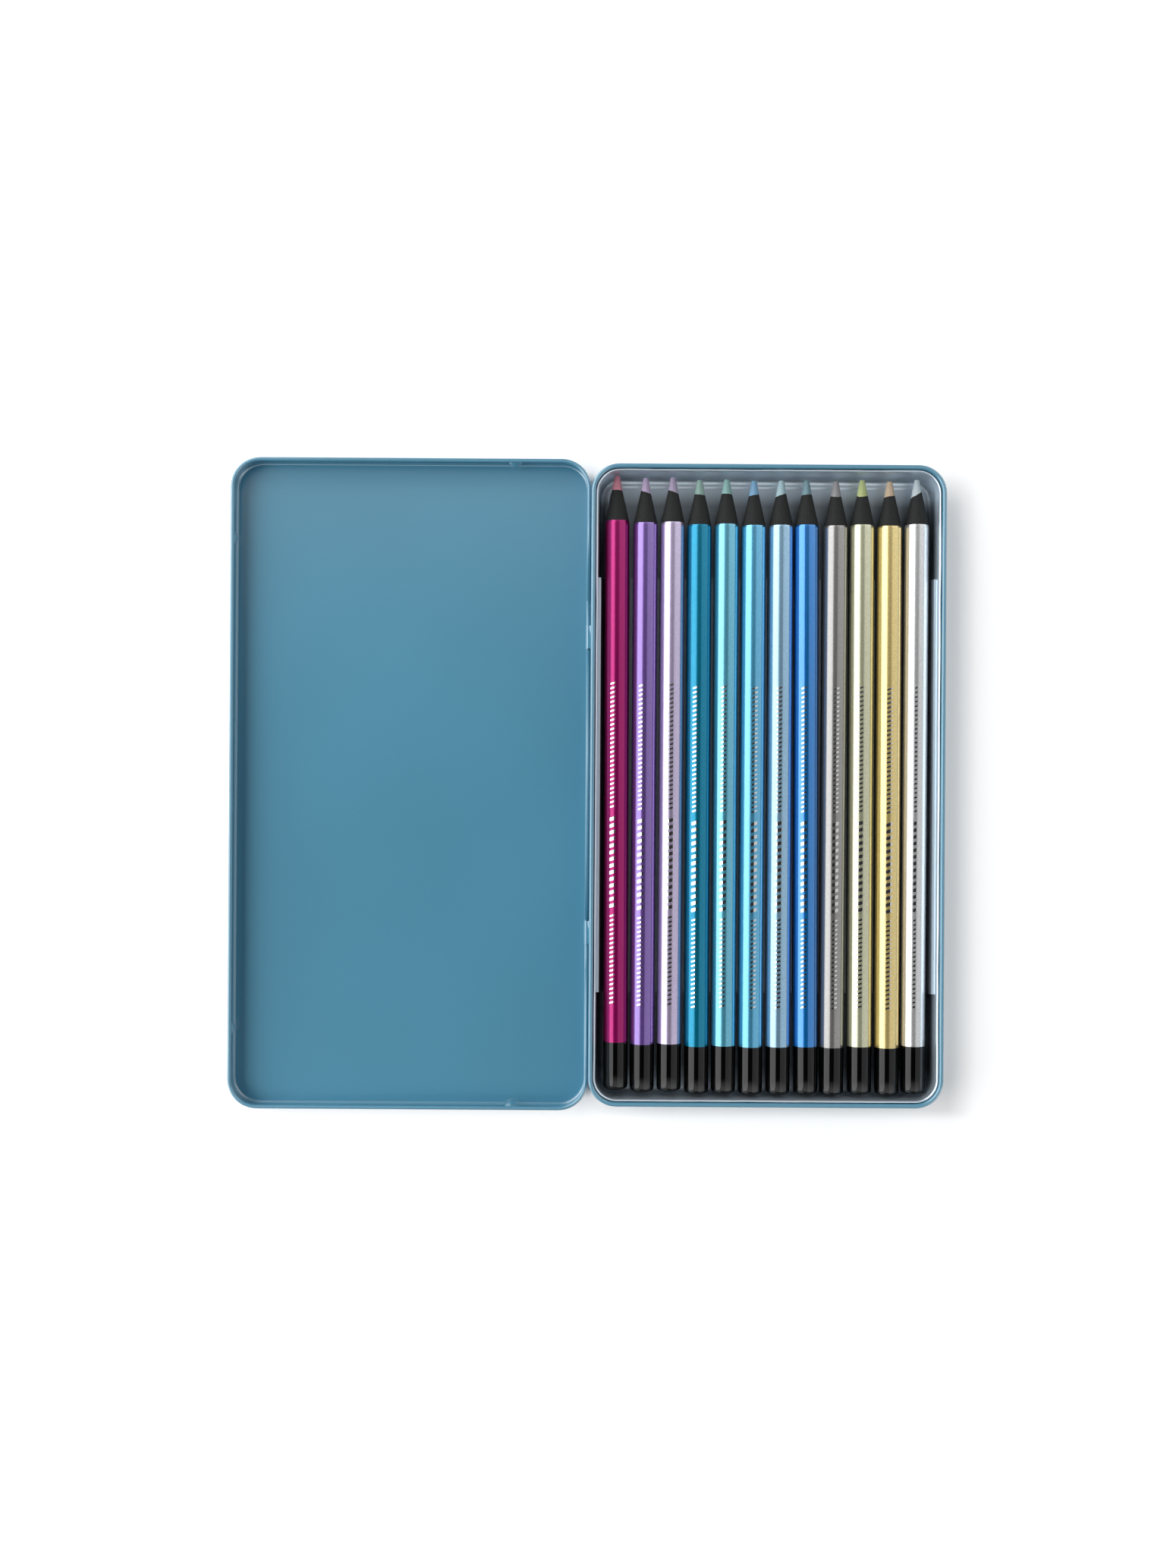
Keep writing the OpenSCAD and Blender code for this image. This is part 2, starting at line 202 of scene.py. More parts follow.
def grow(name, mesh, tree, values):
    """Runs a Geometry Nodes tree on a mesh and gives back the plain mesh it makes."""
    host, modifier = hold(name, mesh, "NODES")
    modifier.node_group = tree
    sockets = {item.name: item.identifier for item in tree.interface.items_tree
               if item.item_type == "SOCKET" and item.in_out == "INPUT"}
    for key, value in values.items():
        modifier[sockets[key]] = value
    made = take_mesh(host)
    if not made.polygons:
        raise RuntimeError(f"{tree.name} made no faces for {name}")
    made.name = name
    return made


def start_tree(name, sockets):
    """Starts a Geometry Nodes tree with named inputs and gives back the tree and its inputs."""
    tree = bpy.data.node_groups.new(name, "GeometryNodeTree")
    for label, kind in [("Geometry", "Geometry"), *sockets, ("Tail", "Vector"),
                        ("Direction", "Vector"), ("Material", "Material")]:
        tree.interface.new_socket(label, in_out="INPUT", socket_type="NodeSocket" + kind)
    tree.interface.new_socket("Geometry", in_out="OUTPUT", socket_type="NodeSocketGeometry")
    return tree, add_node(tree, "NodeGroupInput").outputs


def end_tree(tree, given, geometry):
    """Lays a shape that stands on z from Tail along Direction, and ends the tree in Realize
    Instances and Set Material."""
    lay = add_node(tree, "FunctionNodeAlignRotationToVector",
                   {"Vector": given["Direction"]}, axis="Z").outputs[0]
    for kind, links in (("Transform", {"Translation": given["Tail"], "Rotation": lay}),
                        ("RealizeInstances", {}),
                        ("SetMaterial", {"Material": given["Material"]})):
        geometry = add_node(tree, "GeometryNode" + kind, {0: geometry, **links}).outputs[0]
    add_node(tree, "NodeGroupOutput", {0: geometry})
    return tree


def pencil_axis(i):
    """Middle of the flat tail of a core, and the unit vector from there to its tip."""
    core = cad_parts[f"pencil_{i + 1:02d}_core"].data.vertices
    ends = []
    for pick in (min, max):
        edge = pick(v.co.y for v in core)
        near = [v.co for v in core if abs(v.co.y - edge) < 0.05 * MM]
        ends.append(Vector([(min(p[k] for p in near) + max(p[k] for p in near)) / 2
                            for k in range(3)]))
    return ends[0], (ends[1] - ends[0]).normalized()


class TinSettings(bpy.types.PropertyGroup):
    enamel: bpy.props.FloatVectorProperty(
        name="Enamel", description="Colour of the baked enamel", subtype="COLOR",
        size=3, min=0, max=1, default=linear("#5399B7"))
    gloss: bpy.props.FloatProperty(
        name="Roughness", description="Roughness of the satin enamel", subtype="FACTOR",
        min=0.05, max=1, default=0.32)
    outer_varnish: bpy.props.FloatProperty(
        name="Outer Varnish", description="Share of varnish left on the outer faces",
        subtype="FACTOR", min=0, max=1, default=0.25)
    peel: bpy.props.FloatProperty(
        name="Peel", description="Height of the fine ripple in the enamel", unit="LENGTH",
        min=0, max=0.0001, default=0.000002)


class TraySettings(bpy.types.PropertyGroup):
    # Painted shade: the share of the film's brightness left where the grooves are painted darker
    painted_groove_shade: bpy.props.FloatProperty(
        name="Painted Groove Shade", description="Share of the film's brightness left in the dusty grooves",
        subtype="FACTOR", min=0, max=1, default=0.35)
    film: bpy.props.FloatVectorProperty(
        name="Film", description="Colour of the metallised film", subtype="COLOR",
        size=3, min=0, max=1, default=linear("#DEEDF9"))
    gloss: bpy.props.FloatProperty(
        name="Roughness", description="Roughness of the metallised film", subtype="FACTOR",
        min=0.05, max=1, default=0.36)
    sheet: bpy.props.FloatProperty(
        name="Sheet", description="Thickness of the film", unit="LENGTH", min=0.0002,
        max=0.0006, default=0.0004)
    corner: bpy.props.FloatProperty(
        name="Corner", description="Corner radius of the tray in plan", unit="LENGTH",
        min=0.004, max=0.012, default=0.00655)
    draft: bpy.props.FloatProperty(
        name="Draft", description="Lean of the tray walls", subtype="ANGLE",
        default=math.radians(4))
    brim: bpy.props.FloatProperty(
        name="Brim", description="Radius of the rounded upper edge", unit="LENGTH",
        min=0.0001, max=0.0015, default=0.0006)
    foot: bpy.props.FloatProperty(
        name="Foot", description="Radius between wall and pocket floor", unit="LENGTH",
        min=0.001, max=0.003, default=0.0025)
    groove: bpy.props.FloatProperty(
        name="Groove", description="Radius of a pencil groove", unit="LENGTH",
        min=0.003, max=0.0045, default=0.0038)
    pitch: bpy.props.FloatProperty(
        name="Pitch", description="Distance between neighbouring grooves", unit="LENGTH",
        min=0.007, max=0.009, default=0.00776)
    axis: bpy.props.FloatProperty(
        name="Axis Height", description="Height of the pencil axes", unit="LENGTH",
        min=0.004, max=0.009, default=0.006)
    crest: bpy.props.FloatProperty(
        name="Crest Height", description="Height of the ridges between grooves",
        unit="LENGTH", min=0.002, max=0.006, default=0.0038)
    side_room: bpy.props.FloatProperty(
        name="Side Room", description="Extra width of the first and last groove",
        unit="LENGTH", min=0, max=0.0012, default=0.0009)
    shoulder: bpy.props.FloatProperty(
        name="Shoulder Height", description="Height of the side shoulders",
        unit="LENGTH", min=0.006, max=0.01, default=0.008)
    cradle: bpy.props.FloatProperty(
        name="Cradle", description="Length of the grooved cradle", unit="LENGTH",
        min=0.06, max=0.12, default=0.1185)


class PencilSettings(bpy.types.PropertyGroup):
    length: bpy.props.FloatProperty(
        name="Length", description="Tail to point of a pencil", unit="LENGTH",
        min=0.12, max=0.18, default=0.176)
    barrel: bpy.props.FloatProperty(
        name="Barrel", description="Diameter over the lacquer", unit="LENGTH",
        min=0.006, max=0.008, default=0.007)
    lacquer: bpy.props.FloatProperty(
        name="Lacquer", description="Thickness of the lacquer", unit="LENGTH",
        min=0.00005, max=0.0002, default=0.0001)
    core: bpy.props.FloatProperty(
        name="Core", description="Diameter of the core", unit="LENGTH",
        min=0.002, max=0.004, default=0.003)
    point: bpy.props.FloatProperty(
        name="Point", description="Width of the blunt point", unit="LENGTH",
        min=0.0005, max=0.002, default=0.00144)
    cone: bpy.props.FloatProperty(
        name="Cone", description="Point to lacquer", unit="LENGTH",
        min=0.009, max=0.018, default=0.0134)
    bare_core: bpy.props.FloatProperty(
        name="Bare Core", description="Point to wood", unit="LENGTH",
        min=0.002, max=0.006, default=0.0042)
    dip: bpy.props.FloatProperty(
        name="Dipped End", description="Tail to lacquer", unit="LENGTH",
        min=0.006, max=0.03, default=0.014)
    segments: bpy.props.IntProperty(
        name="Segments", description="Faces round a pencil", min=24, max=160, default=96)


class StageSettings(bpy.types.PropertyGroup):
    height: bpy.props.FloatProperty(
        name="Camera Height", description="Camera above the table", unit="LENGTH",
        min=0.2, max=3, default=0.468)
    turn: bpy.props.FloatProperty(
        name="Camera Turn", description="Turn of the camera about its axis",
        subtype="ANGLE", default=math.radians(0.36))
    main_light: bpy.props.FloatProperty(
        name="Main Light", description="Radiance of the long softbox on the lid side",
        min=0, max=10, default=2.1)
    fill_light: bpy.props.FloatProperty(
        name="Fill Light", description="Radiance of the long softbox on the base side",
        min=0, max=10, default=0.55)
    high_light: bpy.props.FloatProperty(
        name="High Light", description="Radiance of the small softbox over the lid side",
        min=0, max=10, default=1.8)


def enamel_material(settings):
    # Satin baked enamel on tinplate: even blue with a soft sheen, and a very fine
    # ripple that breaks the reflections up a little
    material, tree, shader, place = new_material(
        "satin_baked_enamel", Roughness=settings.gloss, Coat_Roughness=0.18, Coat_IOR=2.1)
    # The outer faces, which lie on the table at rest, have a thinner varnish
    height = add_node(tree, "ShaderNodeSeparateXYZ", {0: place}).outputs["Z"]
    varnish = add_node(tree, "ShaderNodeMapRange",
                       {"Value": height, "From Min": 0.05 * MM, "From Max": 0.25 * MM,
                        "To Min": settings.outer_varnish, "To Max": 1}).outputs[0]
    tree.links.new(varnish, shader.inputs["Coat Weight"])
    # Cloudiness of the enamel, in patches of about 60 mm
    cloud = add_node(tree, "ShaderNodeTexNoise",
                     {"Vector": place, "Scale": per(62.5), "Detail": 1.0}).outputs["Fac"]
    tone = add_node(tree, "ShaderNodeMapRange",
                    {"Value": cloud, "From Min": 0.3, "From Max": 0.7, "To Min": 0.96,
                     "To Max": 1.04}).outputs["Result"]
    # Ripple of about 0.6 mm
    ripple = add_node(tree, "ShaderNodeTexNoise",
                      {"Vector": place, "Scale": per(0.625), "Detail": 2.0}).outputs["Fac"]
    apply_pattern(tree, shader, tuple(settings.enamel), tone, ripple, settings.peel)
    return material


def film_material(settings):
    # Metallised polystyrene film, vacuum formed: a soft, slightly uneven mirror
    material, tree, shader, place = new_material(
        "metallised_polystyrene", Roughness=settings.gloss, Metallic=0.75)
    # Painted shade: the grooves and the pocket floor between the pencils are darkened where shade
    # falls among them. The painted shade thins out toward each end and up the walls, between these
    # places in mm
    axes = add_node(tree, "ShaderNodeSeparateXYZ", {0: place}).outputs
    reach = add_node(tree, "ShaderNodeMath", {0: axes["Y"]}, operation="ABSOLUTE").outputs[0]
    ends, above = (
        add_node(tree, "ShaderNodeMapRange", {"Value": value, "From Min": shade_painted * MM,
                                              "From Max": clear * MM}).outputs[0]
        for value, shade_painted, clear in ((reach, 81, 88), (axes["Z"], 4.2, 7)))
    unshaded = add_node(tree, "ShaderNodeMath", {0: ends, 1: above}, operation="MAXIMUM").outputs[0]
    share = add_node(tree, "ShaderNodeMapRange", {"Value": unshaded, "To Min": settings.painted_groove_shade,
                                                  "To Max": 1}).outputs[0]
    # Unevenness left by forming, about 5 mm across
    wave = add_node(tree, "ShaderNodeTexNoise",
                    {"Vector": place, "Scale": per(5), "Detail": 1.0}).outputs["Fac"]
    apply_pattern(tree, shader, tuple(settings.film), share, wave, 0.08 * MM)
    return material


def lacquer_material(name, code, coat):
    # Metallic flake lacquer under a clear gloss coat: deep colour facing up, bright
    # tinted stripes where the softboxes show, and a fine sparkle
    material, tree, shader, place = new_material(
        name, Metallic=0.8, Roughness=0.28, Coat_Weight=coat, Coat_Roughness=0.08,
        Coat_IOR=1.85)
    # Flakes, drawn 0.25 mm across so that they show
    flake = add_node(tree, "ShaderNodeTexVoronoi",
                     {"Vector": place, "Scale": per(0.25)}).outputs["Color"]
    grey = add_node(tree, "ShaderNodeSeparateColor", {0: flake}).outputs[0]
    tone = add_node(tree, "ShaderNodeMapRange",
                    {"Value": grey, "To Min": 0.9, "To Max": 1.1}).outputs["Result"]
    apply_pattern(tree, shader, linear(code), tone)
    return material


def dip_material():
    # Solvent lacquer dip, black, with a full gloss
    material, tree, shader, place = new_material(
        "gloss_black_dip", Base_Color=(*linear("#030304"), 1), Roughness=0.05)
    # Slow sag of the dipped coat, about 4 mm long
    sag = add_node(tree, "ShaderNodeTexNoise",
                   {"Vector": place, "Scale": per(4), "Detail": 1.0}).outputs["Fac"]
    apply_pattern(tree, shader, None, None, sag, 0.01 * MM)
    return material


def wood_material():
    # Lime wood dyed black through, cut by a sharpener: matt, with fine grain along the pencil
    material, tree, shader, place = new_material("dyed_lime_wood", Roughness=0.75)
    # Grain lines 0.2 mm apart and about 5 mm long
    long_way = add_node(tree, "ShaderNodeMapping",
                        {"Vector": place, "Scale": (per(0.2), per(5), per(0.2))}).outputs[0]
    grain = add_node(tree, "ShaderNodeTexNoise",
                     {"Vector": long_way, "Scale": 1.0, "Detail": 3.0}).outputs["Fac"]
    colour = set_stops(add_node(tree, "ShaderNodeValToRGB", {"Fac": grain}),
                       [(0.3, linear("#0C0D0E")), (0.7, linear("#1A1C1B"))])
    apply_pattern(tree, shader, colour, None, grain, 0.04 * MM)
    return material


def core_material(name, code):
    # Waxy pigment core with a pearly filler: a soft sheen and a grainy cut
    material, tree, shader, place = new_material(name, Roughness=0.4)
    # Pigment grains of 0.25 mm
    speck = add_node(tree, "ShaderNodeTexNoise",
                     {"Vector": place, "Scale": per(0.25), "Detail": 2.0}).outputs["Fac"]
    tone = add_node(tree, "ShaderNodeMapRange",
                    {"Value": speck, "From Min": 0.3, "From Max": 0.7, "To Min": 0.88,
                     "To Max": 1.1}).outputs["Result"]
    apply_pattern(tree, shader, linear(code), tone, speck, 0.03 * MM)
    return material


def foil_material():
    # Hot-stamped silver foil: a thin mirror with a little tooth
    return new_material("hot_stamped_foil", Base_Color=(*linear("#F4F5F6"), 1),
                        Metallic=1.0, Roughness=0.12)[0]


def shell_mesh(name):
    """Copies a packed shell, merges its loose triangles and shades its bends smooth."""
    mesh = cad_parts[name].data.copy()
    work = bmesh.new()
    work.from_mesh(mesh)
    bmesh.ops.remove_doubles(work, verts=work.verts, dist=WELD)
    work.to_mesh(mesh)
    work.free()
    mesh.shade_smooth()
    mesh.set_sharp_from_angle(angle=SHEET_BEND)
    return mesh


class PENCILTIN_OT_shells(bpy.types.Operator):
    """Makes the base and the lid in enamelled tinplate"""
    bl_idname = "pencil_tin.shells"
    bl_label = "Base and Lid"

    def execute(self, context):
        enamel = enamel_material(context.scene.tin_settings)
        for name, body in (("base_shell", "base"), ("lid_shell", "lid")):
            mesh = shell_mesh(name)
            mesh.materials.clear()
            mesh.materials.append(enamel)
            new_piece("enamelled_" + name, mesh, body, "tin_paint", name)
        return {"FINISHED"}


def smooth_max(a, b, k):
    """The higher of two surfaces, with a fillet of about k where they meet."""
    h = max(k - abs(a - b), 0) / k
    return max(a, b) + h * h * k / 4


def smooth_min(a, b, k):
    """The lower of two surfaces, with a rounding of about k where they meet."""
    return -smooth_max(-a, -b, k)


def tray_height(s, top, floor, u, v, d):
    """Upper face of the film in mm at u, v from its middle, d from its edge."""
    lean = math.tan(s.draft)
    foot, sheet = s.foot / MM, s.sheet / MM
    lip = sheet / math.cos(s.draft)
    foot_z = floor + foot
    foot_d = lip + (top - foot_z) * lean + foot / math.cos(s.draft)
    if d >= foot_d:
        wall = floor
    elif d > foot_d - foot * math.cos(s.draft):
        wall = foot_z - math.sqrt(foot ** 2 - (foot_d - d) ** 2)
    else:
        wall = top - (d - lip) / lean
    # The wall rounds over into the free edge
    brim = s.brim / MM
    if d < brim:
        over = top - brim + math.sqrt(brim ** 2 - d ** 2)
        wall = over if d < lip else max(wall, over)
    groove, axis, pitch = s.groove / MM, s.axis / MM, s.pitch / MM
    row = (len(PENCILS) - 1) * pitch / 2
    if abs(u) <= row:
        off = abs((u + row + pitch / 2) % pitch - pitch / 2)
        ridge = s.crest / MM
    else:
        off = max(abs(u) - row - s.side_room / MM, 0)
        ridge = s.shoulder / MM
    side = groove - ARC_STOP
    if off < side:
        bed = axis - math.sqrt(groove ** 2 - off ** 2)
    else:
        bed = axis - math.sqrt(groove ** 2 - side ** 2) + (off - side) * ARC_SLOPE
    bed = smooth_min(bed, ridge, RIDGE_ROUND)
    step = floor + (s.cradle / MM / 2 + STEP_REACH - abs(v)) * STEP_SLOPE
    bed = smooth_max(floor, smooth_min(bed, step, STEP_ROUND), STEP_ROUND)
    return smooth_max(wall, bed, WALL_ROUND if wall > floor else NO_ROUND)


def tray_mesh(s):
    """Upper face of the formed film: rings of points from the rim inwards round a grid."""
    low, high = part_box("pencil_tray")
    mid = (low + high) / 2 / MM
    half_w, half_l = (high.x - low.x) / 2 / MM, (high.y - low.y) / 2 / MM
    top, floor = high.z / MM, (low.z + s.sheet) / MM
    corner, pitch, brim = s.corner / MM, s.pitch / MM, s.brim / MM
    row = (len(PENCILS) - 1) * pitch / 2
    inner_u, inner_v = half_w - corner, half_l - corner
    # Rows of points in mm, close where the film bends: across, from the middle of each groove
    # (offs, us), along, from the middle of the tray (vs), and inwards, from its edge (rings)
    offs = [0, 0.9, 1.8, 2.5, 3.0, 3.3, 3.45, 3.57, 3.7, pitch / 2]
    us = sorted({round(c + k * o, 4) for c in [n * pitch - row for n in range(len(PENCILS))]
                 for o in offs for k in (-1, 1) if abs(c + k * o) < inner_u - 0.2}
                | {-inner_u, inner_u})
    end = s.cradle / MM / 2
    vs = sorted({k * v for v in [0, 20, 40, 52, end - 1.6, end - 0.8, end - 0.4] +
                 [end - 0.2 + 0.08 * n for n in range(12)] +
                 [end + 0.9, end + 1.2, end + 1.8, end + 3, end + 6, 70, 76, inner_v]
                 for k in (-1, 1)})
    rings = [brim * k for k in (0.03, 0.27, 0.5, 0.7, 0.85, 0.95, 0.995, 1.03)] + [
        0.75, 0.95, 1.2, 1.4, 1.5, 1.57, 1.62, 1.67, 1.72, 1.8, 1.92, 2.05, 2.15, 2.24,
        2.32, 2.4, 2.48, 2.6, 2.8, 3.05, 3.3, 3.6, 4.0, 4.4, 4.9, 5.4, 5.9, 6.3, corner]
    turn = [math.radians(90 * n / CORNER_STEPS) for n in range(1, CORNER_STEPS)]
    # The edge, once round: a point that the rings shrink to, the way out, and the quarter turn
    edge = []
    for side in range(4):
        quarter = side * math.pi / 2
        near, far, line = (inner_v, inner_u, us) if side % 2 else (inner_u, inner_v, vs)
        edge += [(Vector((near, place, 0)), Vector((1, 0, 0)), quarter) for place in line]
        edge += [(Vector((near, far, 0)), Vector((math.cos(angle), math.sin(angle), 0)), quarter)
                 for angle in turn]
    work = bmesh.new()

    def point(u, v, d, nudge=Vector()):
        z = tray_height(s, top, floor, u, v, d)
        return work.verts.new((mid.x + u + nudge.x, mid.y + v + nudge.y, z))

    def turned(vector, angle):
        c, n = round(math.cos(angle)), round(math.sin(angle))
        return Vector((c * vector.x - n * vector.y, n * vector.x + c * vector.y, 0))

    loops = []
    for d in rings:
        loop = []
        for base, way, quarter in edge:
            place, out = turned(base + way * (corner - d), quarter), turned(way, quarter)
            soft = (noise.noise(place * LONG_WAVE[0]) * LONG_WAVE[1] +
                    noise.noise(place * SHORT_WAVE[0] + out) * SHORT_WAVE[1])
            give = max(0.0, 1 - d / EDGE_FADE) * EDGE_GIVE * max(0.0, soft - EDGE_CALM)
            loop.append(point(place.x, place.y, d, -out * give))
        loops.append(loop)
    count = len(edge)
    for outer, inner in zip(loops, loops[1:]):
        for k in range(count):
            n = (k + 1) % count
            work.faces.new((outer[k], outer[n], inner[n], inner[k]))
    grid = [[point(u, v, PAST_WALLS) for v in vs] for u in us]
    for a, b in zip(grid, grid[1:]):
        for k in range(len(vs) - 1):
            work.faces.new((a[k], b[k], b[k + 1], a[k + 1]))
    bmesh.ops.remove_doubles(work, verts=work.verts, dist=WELD / MM)
    bmesh.ops.scale(work, verts=work.verts, vec=(MM, MM, MM))
    mesh = bpy.data.meshes.new("formed_tray")
    work.to_mesh(mesh)
    work.free()
    mesh.shade_smooth()
    return mesh


class PENCILTIN_OT_tray(bpy.types.Operator):
    """Forms the tray from one sheet: wall, end pockets, grooves and shoulders"""
    bl_idname = "pencil_tin.tray"
    bl_label = "Tray"

    def execute(self, context):
        settings = context.scene.tray_settings
        # The film gets its thickness below the face that was drawn
        host, modifier = hold("formed_tray", tray_mesh(settings), "SOLIDIFY")
        modifier.thickness, modifier.offset = settings.sheet, -1
        modifier.use_even_offset = False
        mesh = take_mesh(host)
        mesh.set_sharp_from_angle(angle=FILM_BEND)
        mesh.materials.append(film_material(settings))
        new_piece("formed_tray", mesh, "tray", "tray_silver", "pencil_tray")
        return {"FINISHED"}


def lathe_tree():
    """A turned body: the input profile (x outward, z along) is spun about z, with an uneven
    edge where its weights say so, then laid from Tail along Direction."""
    tree, given = start_tree("Lathe", [
        ("Segments", "Int"), ("Slant", "Float"), ("Slant Angle", "Float"),
        ("Ragged", "Float"), ("Ragged Scale", "Float"), ("Seed", "Float"),
        ("Slope", "Float"), ("Facets", "Float")])
    profile = given["Geometry"]
    rows = add_node(tree, "GeometryNodeAttributeDomainSize", {0: profile},
                    component="MESH").outputs["Point Count"]
    columns = add_node(tree, "ShaderNodeMath", {0: given["Segments"], 1: 1.0}).outputs[0]
    grid = add_node(tree, "GeometryNodeMeshGrid",
                    {"Vertices X": columns, "Vertices Y": rows}).outputs["Mesh"]
    index = add_node(tree, "GeometryNodeInputIndex").outputs[0]
    row = add_node(tree, "FunctionNodeIntegerMath", {0: index, 1: rows},
                   operation="MODULO").outputs[0]
    column = add_node(tree, "FunctionNodeIntegerMath", {0: index, 1: rows},
                      operation="DIVIDE_FLOOR").outputs[0]
    here = add_node(tree, "GeometryNodeInputPosition").outputs[0]
    weights = add_node(tree, "GeometryNodeInputNamedAttribute", {"Name": "weights"},
                       data_type="FLOAT_VECTOR").outputs["Attribute"]
    drawn, weight = (
        add_node(tree, "ShaderNodeSeparateXYZ", {0: add_node(
            tree, "GeometryNodeSampleIndex", {0: profile, "Value": value, "Index": row},
            data_type="FLOAT_VECTOR").outputs["Value"]}).outputs
        for value in (here, weights))
    step = add_node(tree, "ShaderNodeMath", {0: math.tau, 1: given["Segments"]},
                    operation="DIVIDE").outputs[0]
    angle = add_node(tree, "ShaderNodeMath", {0: column, 1: step},
                     operation="MULTIPLY").outputs[0]
    across, up = (add_node(tree, "ShaderNodeMath", {0: angle}, operation=kind).outputs[0]
                  for kind in ("COSINE", "SINE"))
    spoke = add_node(tree, "ShaderNodeCombineXYZ", {0: across, 1: up}).outputs[0]
    rough, flat = (
        add_node(tree, "ShaderNodeTexNoise",
                 {"Vector": spoke, "W": given["Seed"], "Scale": scale, "Detail": detail},
                 noise_dimensions="4D").outputs["Fac"]
        for scale, detail in ((given["Ragged Scale"], 3.0), (FACET_SCALE, 0.0)))
    rough = add_node(tree, "ShaderNodeMapRange",
                     {"Value": rough, "From Min": 0.25, "From Max": 0.75, "To Min": -1.0,
                      "To Max": 1.0}, clamp=False).outputs["Result"]
    off = add_node(tree, "ShaderNodeMath", {0: angle, 1: given["Slant Angle"]},
                   operation="SUBTRACT").outputs[0]
    slant = add_node(tree, "ShaderNodeMath", {0: off}, operation="COSINE").outputs[0]
    slant = add_node(tree, "ShaderNodeMath", {0: slant, 1: given["Slant"]},
                     operation="MULTIPLY").outputs[0]
    shift = add_node(tree, "ShaderNodeMath", {0: rough, 1: given["Ragged"], 2: slant},
                     operation="MULTIPLY_ADD").outputs[0]
    flat = add_node(tree, "ShaderNodeMath", {0: flat, 1: 0.5}, operation="SUBTRACT").outputs[0]
    flat = add_node(tree, "ShaderNodeMath", {0: flat, 1: given["Facets"]},
                    operation="MULTIPLY").outputs[0]
    along = add_node(tree, "ShaderNodeMath", {0: shift, 1: weight[0], 2: drawn["Z"]},
                     operation="MULTIPLY_ADD").outputs[0]
    fall = shift
    for share in (given["Slope"], weight[1]):
        fall = add_node(tree, "ShaderNodeMath", {0: fall, 1: share},
                        operation="MULTIPLY").outputs[0]
    radius = add_node(tree, "ShaderNodeMath", {0: drawn["X"], 1: fall},
                      operation="SUBTRACT").outputs[0]
    radius = add_node(tree, "ShaderNodeMath", {0: flat, 1: weight[2], 2: radius},
                      operation="MULTIPLY_ADD").outputs[0]
    out = add_node(tree, "ShaderNodeVectorMath", {0: spoke, "Scale": radius},
                   operation="SCALE").outputs[0]
    lift = add_node(tree, "ShaderNodeCombineXYZ", {2: along}).outputs[0]
    place = add_node(tree, "ShaderNodeVectorMath", {0: out, 1: lift}).outputs[0]
    body = add_node(tree, "GeometryNodeSetPosition", {0: grid, "Position": place}).outputs[0]
    body = add_node(tree, "GeometryNodeMergeByDistance", {0: body, "Distance": WELD}).outputs[0]
    body = add_node(tree, "GeometryNodeSetShadeSmooth", {0: body}).outputs[0]
    bend = add_node(tree, "GeometryNodeInputMeshEdgeAngle").outputs["Unsigned Angle"]
    sharp = add_node(tree, "ShaderNodeMath", {0: bend, 1: PENCIL_BEND},
                     operation="GREATER_THAN").outputs[0]
    body = add_node(tree, "GeometryNodeSetShadeSmooth",
                    {0: body, "Selection": sharp, "Shade Smooth": False}, domain="EDGE").outputs[0]
    return end_tree(tree, given, body)


def profile_mesh(name, points):
    """A profile as an edge chain that carries its weights."""
    mesh = bpy.data.meshes.new(name)
    mesh.from_pydata([(p[0] * MM, 0, p[1] * MM) for p in points],
                     [(k, k + 1) for k in range(len(points) - 1)], [])
    weights = mesh.attributes.new("weights", "FLOAT_VECTOR", "POINT")
    for k, p in enumerate(points):
        weights.data[k].vector = (*p[2:], 0, 0, 0)[:3]
    return mesh


def pencil_profiles(s):
    """Profiles of core, wood, lacquer and dipped end, in mm from the flat tail of the core,
    and the slope of the cone. A point is its radius and length, then its weights of shift,
    taper and facets, with the last ones left out where they are nothing."""
    length, outer, core = s.length / MM, s.barrel / MM / 2, s.core / MM / 2
    point, wood = s.point / MM / 2, outer - s.lacquer / MM
    neck, cut, dip = length - s.cone / MM, length - s.bare_core / MM, s.dip / MM
    # The flat tail lies this far inside the dip, its edge is eased by this much, and the cut's
    # slant starts to tell this far below it
    tail, ease, deep = 1.0, 0.1, 3
    slope = (outer - core) / (cut - neck)
    edge = neck + (outer - wood) / slope
    tip_slope = (core - point) / (length - cut)
    cone = [(core + slope * (cut - z), z, 0, 0, k) for z, k in
            [(edge + (cut - edge) * t, k) for t, k in
             ((0.15, 0.5), (0.35, 1), (0.6, 1), (0.85, 1))]]
    profiles = {
        "core": [(0, tail), (core - ease, tail), (core, tail + ease), (core, dip, 0, 1),
                 (core, cut - deep, 0, 1), (core, cut, 1, 1, 1)] +
                [(core - tip_slope * t, cut + t, 0, 0, k)
                 for t, k in ((1.3, 1), (2.2, 0.8), (3.1, 0.5))] +
                [(point, length - 0.03), (point - 0.05, length), (0, length - 0.02)],
        "casing": [(core, tail, 0, 1), (wood, tail), (wood, dip), (wood, edge)] + cone +
                  [(core, cut, 1, 1, 1), (core, cut - deep, 0, 1), (core, tail, 0, 1)],
        "lacquer": [(wood, dip), (outer, dip), (outer, neck - 1), (outer, neck - 0.16),
                    (outer, neck - 0.08, 1), (outer - 0.03, neck, 1),
                    (wood + 0.005, edge - 0.2, 1), (wood, edge - 0.12, 1), (wood, neck - 1),
                    (wood, dip)],
        "end_dip": [(0, 0), (1.2, 0.1), (2.1, 0.29), (2.7, 0.49), (3.05, 0.68), (3.28, 0.92),
                    (3.42, 1.25), (outer, 1.7), (outer, dip - ease), (outer - 0.02, dip),
                    (wood, dip), (wood, tail), (0, tail)],
    }
    for points in profiles.values():
        for k, p in enumerate(points):
            points[k] = (p[0], p[1] - tail, *p[2:])
    return profiles, slope


